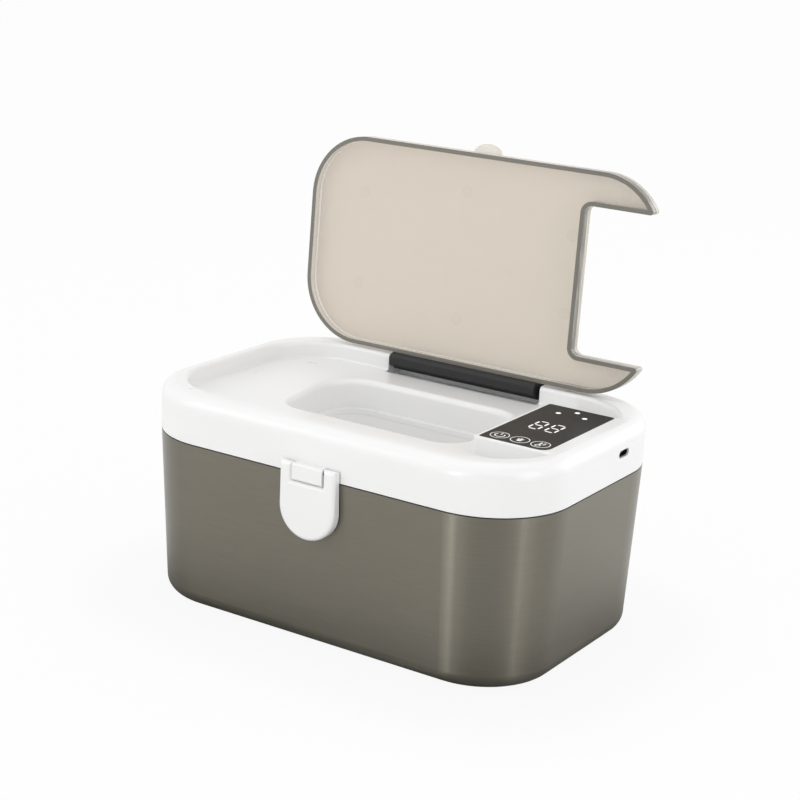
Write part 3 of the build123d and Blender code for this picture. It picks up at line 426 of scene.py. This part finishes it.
def smoked(name, tint, wall, edge, hinge, marks, highlight_colour=(0.97, 0.92, 0.84)):
    """Smoked see-through plastic of the lid.

    The panel is hazy with faint ejector marks. The skirt round it has a painted highlight
    along the panel and a dark free edge, and is denser at the notch.
    """
    finish = Finish(name)
    alpha, skirt_less, notch_more = 0.56, 0.04, 0.28
    haze = finish.noise(14.0, detail=4.0, roughness=0.6)
    speck = finish.noise(700.0)
    drawn = finish.noise(420.0, stretch=(0.1, 1.0, 0.1)).step(0.42, 0.62)
    depth = finish.axis(1) - hinge.y, finish.axis(2) - hinge.z
    forward = depth[0] * math.sin(LID_OPEN) + depth[1] * math.cos(LID_OPEN)
    skirt = 1.0 - forward.step(LID_FACE - LID_SKIRT[0], LID_FACE - LID_SKIRT[1])
    lip = 1.0 - forward.step(LID_LIP + LID_LIP_LINE[0], LID_LIP + LID_LIP_LINE[1])
    # Painted highlight: a light line on the skirt along its join with the panel.
    painted_highlight = skirt * forward.step(LID_FACE - LID_HIGHLIGHT_LINE[0], LID_FACE - LID_HIGHLIGHT_LINE[1])
    notch = skirt * finish.axis(0).step(*NOTCH)
    rings = ejector_marks(finish, marks)
    panel = finish.mottled(haze, tint, 0.97, 1.03)
    stamped = finish.mix((rings * 0.32).clamp(), panel, shade(tint, 0.84))
    away_from_notch = finish.mottled(drawn, tint, 0.76, 0.84)
    at_notch = finish.mottled(drawn, wall, 0.42, 1.05)
    plain = finish.mix(notch, away_from_notch, at_notch)
    # The skirt takes the painted highlight's light colour along the panel.
    sides = finish.mix(painted_highlight * (1.0 - notch * 0.6), plain, highlight_colour)
    cover = alpha + haze.swing(0.03) - skirt * skirt_less + notch * notch_more
    finish.set(
        Base_Color=finish.mix(lip, finish.mix(skirt, stamped, sides), edge),
        Alpha=(cover + lip * (1.0 - alpha)).clamp(),
        Roughness=0.18 + haze.swing(0.06),
        Normal=finish.bump(speck + rings * 0.5, 0.00002),
        IOR=1.45,
    )
    return finish.material


def woven(name, colour):
    """Pressed heat-insulating felt."""
    finish = Finish(name)
    fibre = finish.noise(1600.0, detail=5.0, roughness=0.7, stretch=(1.0, 4.0, 1.0))
    finish.set(
        Base_Color=finish.mottled(fibre, colour, 0.8),
        Roughness=0.9 + fibre.swing(0.1),
        Normal=finish.bump(fibre, 0.0002),
    )
    return finish.material


def circuit(name, colour):
    """Solder mask with copper runs beneath it."""
    finish = Finish(name)
    runs = finish.stripes(2600.0, 0.55, 0.75)
    cloud = finish.noise(120.0)
    finish.set(
        Base_Color=finish.mottled(runs * cloud.step(0.4, 0.5), colour, 1.0, 1.9),
        Roughness=0.34 + cloud.swing(0.1),
        Normal=finish.bump(runs, 0.00003),
    )
    return finish.material


def traced(name, colour, foil=(0.32, 0.22, 0.12)):
    """Amber heating film with its etched foil track."""
    finish = Finish(name)
    track = finish.stripes(900.0, 0.35, 0.5)
    cloud = finish.noise(60.0)
    finish.set(
        Base_Color=finish.mix(track, colour, foil),
        Roughness=0.3 + track * 0.15 + cloud.swing(0.05),
        Metallic=track * 0.6,
        Normal=finish.bump(track, 0.00005),
    )
    return finish.material


def lit_through(name, colour, strength):
    """Natural plastic of the tub, whose emission stands for light through its walls."""
    finish = Finish(name)
    flow = finish.noise(30.0, detail=3.0)
    finish.set(
        Base_Color=finish.mottled(flow, colour, 0.96),
        Roughness=0.5 + flow.swing(0.1),
        Emission_Color=finish.mottled(flow, colour, 0.9),
        Emission_Strength=strength,
        Normal=finish.bump(finish.noise(800.0), 0.00002),
    )
    return finish.material


def glowing(name, colour, strength):
    """A printed mark with light behind it."""
    finish = Finish(name)
    cloud = finish.noise(900.0)
    finish.set(
        Base_Color=finish.mottled(cloud, colour, 0.94),
        Roughness=0.45 + cloud.swing(0.1),
        Emission_Color=finish.mottled(cloud, colour, 0.9),
        Emission_Strength=strength,
    )
    return finish.material


# ------------------------------------------------------------------ mesh helpers
def start_piece(name):
    """Names the primitive that was just added and opens it for editing."""
    piece = bpy.context.object
    piece.name = name
    piece.data.name = name
    bpy.ops.object.mode_set(mode="EDIT")
    return piece


def deselect():
    """Nothing selected, so that an operator acts on new geometry alone."""
    if bpy.context.object and bpy.context.object.mode != "OBJECT":
        bpy.ops.object.mode_set(mode="OBJECT")
    bpy.ops.object.select_all(action="DESELECT")


def close_piece(piece, material):
    """Ends editing, faces outwards, and leaves the object at the origin."""
    bpy.ops.mesh.select_all(action="SELECT")
    bpy.ops.mesh.remove_doubles(threshold=MERGE)
    bpy.ops.mesh.normals_make_consistent(inside=False)
    bpy.ops.object.mode_set(mode="OBJECT")
    piece.select_set(True)
    bpy.context.view_layer.objects.active = piece
    bpy.ops.object.transform_apply(location=True, rotation=True, scale=True)
    piece.data.materials.clear()
    piece.data.materials.append(material)
    return piece


def join(pieces, name):
    """One piece from several."""
    deselect()
    for piece in pieces:
        piece.select_set(True)
    bpy.context.view_layer.objects.active = pieces[0]
    bpy.ops.object.join()
    pieces[0].name = name
    pieces[0].data.name = name
    return pieces[0]


def select_faces(piece, wanted):
    """Selects the faces of the piece in editing for which wanted is true."""
    mesh = bmesh.from_edit_mesh(piece.data)
    bpy.ops.mesh.select_mode(type="FACE")
    for face in mesh.faces:
        face.select_set(wanted(face))
    bmesh.update_edit_mesh(piece.data)


def raise_faces(height):
    """Extrudes the selected faces upwards."""
    bpy.ops.mesh.extrude_region_move(TRANSFORM_OT_translate={"value": (0.0, 0.0, height)})


def ring(centre, outer, width, height, material, sides=48, gap=0):
    """A flat printed ring that stands on centre, open over gap of its sides at the top."""
    deselect()
    bpy.ops.mesh.primitive_circle_add(
        vertices=sides, radius=outer, fill_type="NOTHING", location=centre
    )
    piece = start_piece("ring")
    bpy.ops.mesh.select_all(action="SELECT")
    bpy.ops.mesh.extrude_edges_move()
    inner = (outer - width) / outer
    bpy.ops.transform.resize(value=(inner, inner, 1.0))
    if gap:
        reach = math.pi * gap / sides

        def in_gap(face):
            middle = face.calc_center_median()
            return abs(math.atan2(middle.x, middle.y)) < reach

        select_faces(piece, in_gap)
        bpy.ops.mesh.delete(type="FACE")
    bpy.ops.mesh.select_mode(type="FACE")
    bpy.ops.mesh.select_all(action="SELECT")
    raise_faces(height)
    return close_piece(piece, material)


def bar(centre, length, width, height, turn, material, taper=0.5):
    """A printed bar with pointed ends that stands on centre, turned about it."""
    deselect()
    middle = Vector(centre) + Vector((0.0, 0.0, height / 2))
    bpy.ops.mesh.primitive_cube_add(size=1.0, location=middle)
    piece = start_piece("bar")
    point = width * taper
    bpy.ops.mesh.select_all(action="SELECT")
    bpy.ops.transform.resize(value=(length - point * 2, width, height))
    for side in (1, -1):
        select_faces(piece, lambda face: face.normal.x * side > END_FACING)
        bpy.ops.mesh.extrude_region_move(
            TRANSFORM_OT_translate={"value": (side * point, 0.0, 0.0)}
        )
        bpy.ops.transform.resize(value=(1.0, END_WIDTH, 1.0))
    bpy.ops.mesh.select_all(action="SELECT")
    to_middle = Matrix.Translation(middle)
    turned = to_middle @ Matrix.Rotation(turn, 4, "Z") @ to_middle.inverted()
    bpy.ops.object.mode_set(mode="OBJECT")
    bpy.ops.object.transform_apply(location=True, rotation=True, scale=True)
    piece.data.transform(turned)
    bpy.ops.object.mode_set(mode="EDIT")
    return close_piece(piece, material)


def disc(centre, radius, height, material, sides=32):
    """A printed dot that stands on centre, with an inset line round its face."""
    deselect()
    bpy.ops.mesh.primitive_circle_add(
        vertices=sides, radius=radius, fill_type="NGON", location=centre
    )
    piece = start_piece("dot")
    bpy.ops.mesh.select_mode(type="FACE")
    bpy.ops.mesh.select_all(action="SELECT")
    raise_faces(height)
    bpy.ops.mesh.inset(thickness=radius * DOT_BEVEL)
    return close_piece(piece, material)


# ------------------------------------------------------------------ operators
class WARMER_OT_finishes(bpy.types.Operator):
    """Give every piece of the frame its finish"""

    bl_idname = "warmer.finishes"
    bl_label = "Finishes"

    def execute(self, context):
        finishes = {**self.outer(context.scene.warmer_finish), **self.inner()}
        for part in frame["record"]["subparts"]:
            node = frame["nodes"][part["node"]]
            node.data.materials.clear()
            node.data.materials.append(finishes[part["material_slot"]])
        return {"FINISHED"}

    def outer(self, looks):
        """Finishes of the pieces in view."""
        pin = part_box("lid_hinge_pin")
        lid_hinge = (Vector(pin[0]) + Vector(pin[1])) / 2
        return {
            "base_paint": lacquer(
                "base_lacquer", tuple(looks.base_lacquer), looks.base_roughness, SEAM
            ),
            "white_gloss": moulded(
                "polished_white", tuple(looks.housing_white), 0.30,
                coat=0.25, grain=420.0, depth=0.000004, vary=0.015,
            ),
            "tub_plastic": lit_through("tub_plastic", (0.70, 0.696, 0.690), 0.40),
            "foot_rubber": moulded("foot_rubber", (0.03, 0.03, 0.03), 0.75, depth=0.00008),
            "pin_steel": moulded("pin_steel", (0.06, 0.06, 0.062), 0.3, metallic=0.8),
            "film_dark": moulded(
                "display_film", tuple(looks.film_black), 0.34, grain=1500.0, vary=0.2, shine=0.12
            ),
            "socket_steel": moulded("socket_steel", (0.16, 0.16, 0.165), 0.35, metallic=1.0),
            "lid_smoke": smoked(
                "smoked_lid", tuple(looks.lid_tint), tuple(looks.lid_wall),
                tuple(looks.lid_edge), lid_hinge, EJECTORS,
            ),
            "bar_grey": moulded(
                "hinge_bar", tuple(looks.bar_grey), 0.42, grain=1300.0, depth=0.00003, shine=0.35
            ),
        }

    def inner(self):
        """Finishes of the pieces that show only when the housing is up, or not at all."""
        return {
            "silicone": moulded("silicone", (0.42, 0.42, 0.41), 0.6, depth=0.00005),
            "screw_steel": moulded("screw_steel", (0.56, 0.56, 0.57), 0.32, metallic=1.0),
            "cover_plastic": moulded("cover_plastic", (0.74, 0.735, 0.72), 0.5),
            "heater_aluminium": moulded(
                "heater_aluminium", (0.66, 0.67, 0.68), 0.35, metallic=1.0
            ),
            "heater_film": traced("heater_film", (0.52, 0.24, 0.05)),
            "foam": woven("insulating_felt", (0.78, 0.78, 0.76)),
            "sensor_bead": moulded("sensor_bead", (0.02, 0.02, 0.02), 0.3),
            "wire_red": moulded("wire_red", (0.42, 0.02, 0.02), 0.5),
            "board_green": circuit("solder_mask", (0.02, 0.16, 0.055)),
            "chip_black": moulded("chip_black", (0.012, 0.012, 0.013), 0.5),
            "display_black": moulded("display_module", (0.02, 0.02, 0.022), 0.3),
            "led_white": glowing("light_emitter", (0.9, 0.9, 0.86), 0.2),
            "pad_foam": moulded("pad_foam", (0.03, 0.03, 0.03), 0.9, depth=0.0001),
        }


class WARMER_OT_key_marks(bpy.types.Operator):
    """Print the rings and signs of the three touch keys"""

    bl_idname = "warmer.key_marks"
    bl_label = "Key marks"

    def execute(self, context):
        sizes = context.scene.warmer_marks
        ink = glowing("key_ink", tuple(context.scene.warmer_finish.print_white), 0.15)
        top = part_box("display_film")[1].z
        thick = sizes.thickness
        keys = [Vector((x, KEY_ROW, top)) for x in KEY_COLUMNS]
        marks = [ring(key, sizes.ring_radius, sizes.ring_width, thick, ink) for key in keys]
        signs = (self.power_sign, self.heat_sign, self.thermometer_sign)
        for key, sign in zip(keys, signs):
            marks += sign(key, thick, ink)
        piece = join(marks, "key_marks")
        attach(piece, "housing")
        return {"FINISHED"}

    def beside(self, key, right, up):
        """A spot on the film, in millimetres from the middle of a key."""
        return key + Vector((right * MM, up * MM, 0.0))

    def power_sign(self, key, thick, ink):
        """An open ring with a stem in its gap."""
        radius, line, stem = 2.7 * MM, 0.6 * MM, 2.8 * MM
        return [
            ring(key, radius, line, thick, ink, gap=12),
            bar(self.beside(key, 0.0, 2.1), stem, line, thick, UPRIGHT, ink),
        ]

    def heat_sign(self, key, thick, ink):
        """A dot with three pointed flames that fan out above it."""
        dot, length, width = 1.3 * MM, 2.8 * MM, 1.1 * MM
        marks = [disc(self.beside(key, 0.0, -1.0), dot, thick, ink, sides=20)]
        for lean, reach in ((50.0, 1.2), (90.0, 1.6), (130.0, 1.2)):
            angle = math.radians(lean)
            spot = self.beside(key, reach * math.cos(angle), reach * math.sin(angle) - 0.6)
            marks.append(bar(spot, length, width, thick, angle, ink, taper=0.9))
        return marks

    def thermometer_sign(self, key, thick, ink):
        """A bulb with its stem, and three rungs beside the stem."""
        bulb, line = 1.5 * MM, 0.5 * MM
        stem, stem_width, rung = 4.2 * MM, 0.9 * MM, 1.6 * MM
        marks = [
            ring(self.beside(key, -0.6, -1.8), bulb, line, thick, ink, sides=28),
            bar(self.beside(key, -0.6, 1.0), stem, stem_width, thick, UPRIGHT, ink),
        ]
        for up in (0.1, 1.3, 2.5):
            marks.append(bar(self.beside(key, 1.4, up), rung, line, thick, 0.0, ink))
        return marks


class WARMER_OT_digits(bpy.types.Operator):
    """Light the two seven-segment digits of the temperature"""

    bl_idname = "warmer.digits"
    bl_label = "Digits"

    def execute(self, context):
        sizes = context.scene.warmer_marks
        light = glowing("digit_light", tuple(context.scene.warmer_finish.print_white), 0.35)
        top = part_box("display_film")[1].z
        thick = sizes.thickness
        wide, tall, line = sizes.digit_width, sizes.digit_height, sizes.segment_width
        across = wide - line * SEGMENT_ROOM[0]
        upright = tall / 2 - line * SEGMENT_ROOM[1]
        segments = []
        for left in DIGIT_LEFTS:
            middle = Vector((left + wide / 2, DIGIT_ROW, top))
            for row in (-1, 0, 1):
                spot = middle + Vector((0.0, row * (tall - line) / 2, 0.0))
                segments.append(bar(spot, across, line, thick, 0.0, light))
            for side in (-1, 1):
                for half in (-1, 1):
                    away = Vector((side * (wide - line) / 2, half * (tall - line) / 4, 0.0))
                    segments.append(bar(middle + away, upright, line, thick, UPRIGHT, light))
        piece = join(segments, "digit_segments")
        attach(piece, "housing")
        return {"FINISHED"}


class WARMER_OT_status_dots(bpy.types.Operator):
    """Light the three status dots"""

    bl_idname = "warmer.status_dots"
    bl_label = "Status dots"

    def execute(self, context):
        sizes = context.scene.warmer_marks
        light = glowing("dot_light", tuple(context.scene.warmer_finish.print_white), 0.35)
        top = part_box("display_film")[1].z
        dots = [disc((x, y, top), sizes.dot_radius, sizes.thickness, light) for x, y in DOTS]
        piece = join(dots, "status_dots")
        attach(piece, "housing")
        return {"FINISHED"}


class WARMER_OT_stage(bpy.types.Operator):
    """Set the floor, the surroundings, the soft studio light and the camera"""

    bl_idname = "warmer.stage"
    bl_label = "Stage"

    def execute(self, context):
        stage = context.scene.warmer_stage
        context.scene.view_settings.view_transform = "Standard"
        self.add_floor()
        self.add_sky(stage)
        for lamp in LAMPS:
            self.add_lamp(lamp, stage.softbox_power)
        self.add_camera(stage)
        return {"FINISHED"}

    def add_floor(self):
        """A pale floor with a painted shadow round the object, that shows white to the camera."""
        deselect()
        bpy.ops.mesh.primitive_plane_add(size=FLOOR_SIZE, location=(0.0, 0.0, -FLOOR_DROP))
        floor = bpy.context.object
        floor.name = "floor"
        finish = Finish("studio_floor")
        tree = finish.tree
        seen, mirrored, through = finish.rays()
        white = finish.node("ShaderNodeEmission", {}, {"Color": WHITE, "Strength": 1.0})
        # Painted shadow: the floor is darker near the object, and reflections see less white
        # there.
        beyond = [abs(finish.axis(which)) - SHADOW_CORE[which] for which in (0, 1)]
        out = [gone.maths("MAXIMUM", gone, 0.0) for gone in beyond]
        painted_shadow = 1.0 - ((out[0] ** 2.0 + out[1] ** 2.0) ** 0.5).step(*SHADOW_FADE)
        finish.set(Base_Color=finish.mix(painted_shadow, FLOOR_COLOUR, FLOOR_PAINTED_SHADOW), Roughness=0.9)
        shown = seen * FLOOR_SEEN + mirrored * (1.0 - painted_shadow) * FLOOR_MIRRORED + through
        both = finish.node("ShaderNodeMixShader", {}, {0: shown.clamp(), 2: white})
        tree.links.new(finish.shader.outputs[0], both.socket.node.inputs[1])
        tree.links.new(both.socket, tree.nodes["Material Output"].inputs["Surface"])
        floor.data.materials.append(finish.material)

    def add_sky(self, stage):
        """White surroundings, whose light and reflection are darker round the camera's side."""
        sky = Sky("studio_sky")
        seen, mirrored, through = sky.rays()
        towards = sky.node("ShaderNodeTexCoord", {}, {}, "Generated")
        turn = math.radians(stage.azimuth)
        front = (math.sin(turn), -math.cos(turn), 0.0)
        facing = sky.node(
            "ShaderNodeVectorMath", {"operation": "DOT_PRODUCT"}, {0: towards, 1: front}, "Value"
        )
        gap = facing.step(*GAP_EDGE) * stage.gap
        shown = (seen + through + mirrored * (1.0 - gap)).clamp()
        lit = (1.0 - gap) * stage.sky * (1.0 - (seen + through + mirrored).clamp())
        sky.set(Color=WHITE, Strength=shown + lit)

    def add_lamp(self, lamp, power):
        """An area lamp that looks at its aim."""
        light = bpy.data.lights.new(lamp.name, "AREA")
        light.shape = "RECTANGLE"
        light.size, light.size_y = lamp.size
        light.energy = power * lamp.share
        light.color = lamp.colour
        holder = bpy.data.objects.new(lamp.name, light)
        bpy.context.scene.collection.objects.link(holder)
        holder.location = lamp.place
        look = Vector(lamp.aim) - Vector(lamp.place)
        holder.rotation_euler = look.to_track_quat("-Z", "Y").to_euler()

    def add_camera(self, stage):
        """The camera, from its place and its three angles."""
        turn, tilt, roll = (
            math.radians(value) for value in (stage.azimuth, stage.elevation, stage.roll)
        )
        across = math.cos(tilt)
        back = Vector((math.sin(turn) * across, -math.cos(turn) * across, math.sin(tilt)))
        right = Vector((math.cos(turn), math.sin(turn), 0.0))
        up = back.cross(right)
        rolled_right = right * math.cos(roll) + up * math.sin(roll)
        rolled_up = up * math.cos(roll) - right * math.sin(roll)
        data = bpy.data.cameras.new("camera")
        data.sensor_width = SENSOR
        data.lens = stage.lens
        data.clip_end = CLIP_END
        camera = bpy.data.objects.new("camera", data)
        bpy.context.scene.collection.objects.link(camera)
        pose = Matrix((rolled_right, rolled_up, back)).transposed().to_4x4()
        pose.translation = Vector(stage.place)
        camera.matrix_world = pose
        bpy.context.scene.camera = camera


class WARMER_PT_panel(bpy.types.Panel):
    """Sidebar panel with the warmer's steps and settings"""

    bl_label = "Wipe warmer"
    bl_idname = "WARMER_PT_panel"
    bl_space_type = "VIEW_3D"
    bl_region_type = "UI"
    bl_category = "Wipe warmer"

    def draw(self, context):
        layout = self.layout
        for group in ("warmer_finish", "warmer_marks", "warmer_stage"):
            settings = getattr(context.scene, group)
            box = layout.box()
            for key in settings.bl_rna.properties.keys():
                if key not in ("rna_type", "name"):
                    box.prop(settings, key)
        for step in STEPS:
            layout.operator(step.bl_idname)


STEPS = (
    WARMER_OT_finishes,
    WARMER_OT_key_marks,
    WARMER_OT_digits,
    WARMER_OT_status_dots,
    WARMER_OT_stage,
)
SETTINGS = (WarmerFinishSettings, WarmerMarkSettings, WarmerStageSettings)


def register():
    for kind in SETTINGS + STEPS + (WARMER_PT_panel,):
        bpy.utils.register_class(kind)
    bpy.types.Scene.warmer_finish = bpy.props.PointerProperty(type=WarmerFinishSettings)
    bpy.types.Scene.warmer_marks = bpy.props.PointerProperty(type=WarmerMarkSettings)
    bpy.types.Scene.warmer_stage = bpy.props.PointerProperty(type=WarmerStageSettings)


def unregister():
    del bpy.types.Scene.warmer_finish
    del bpy.types.Scene.warmer_marks
    del bpy.types.Scene.warmer_stage
    for kind in reversed(SETTINGS + STEPS + (WARMER_PT_panel,)):
        bpy.utils.unregister_class(kind)


def main():
    """Build the scene step by step."""
    register()
    bpy.ops.warmer.finishes()
    bpy.ops.warmer.key_marks()
    bpy.ops.warmer.digits()
    bpy.ops.warmer.status_dots()
    bpy.ops.warmer.stage()


if __name__ == "__main__":
    main()
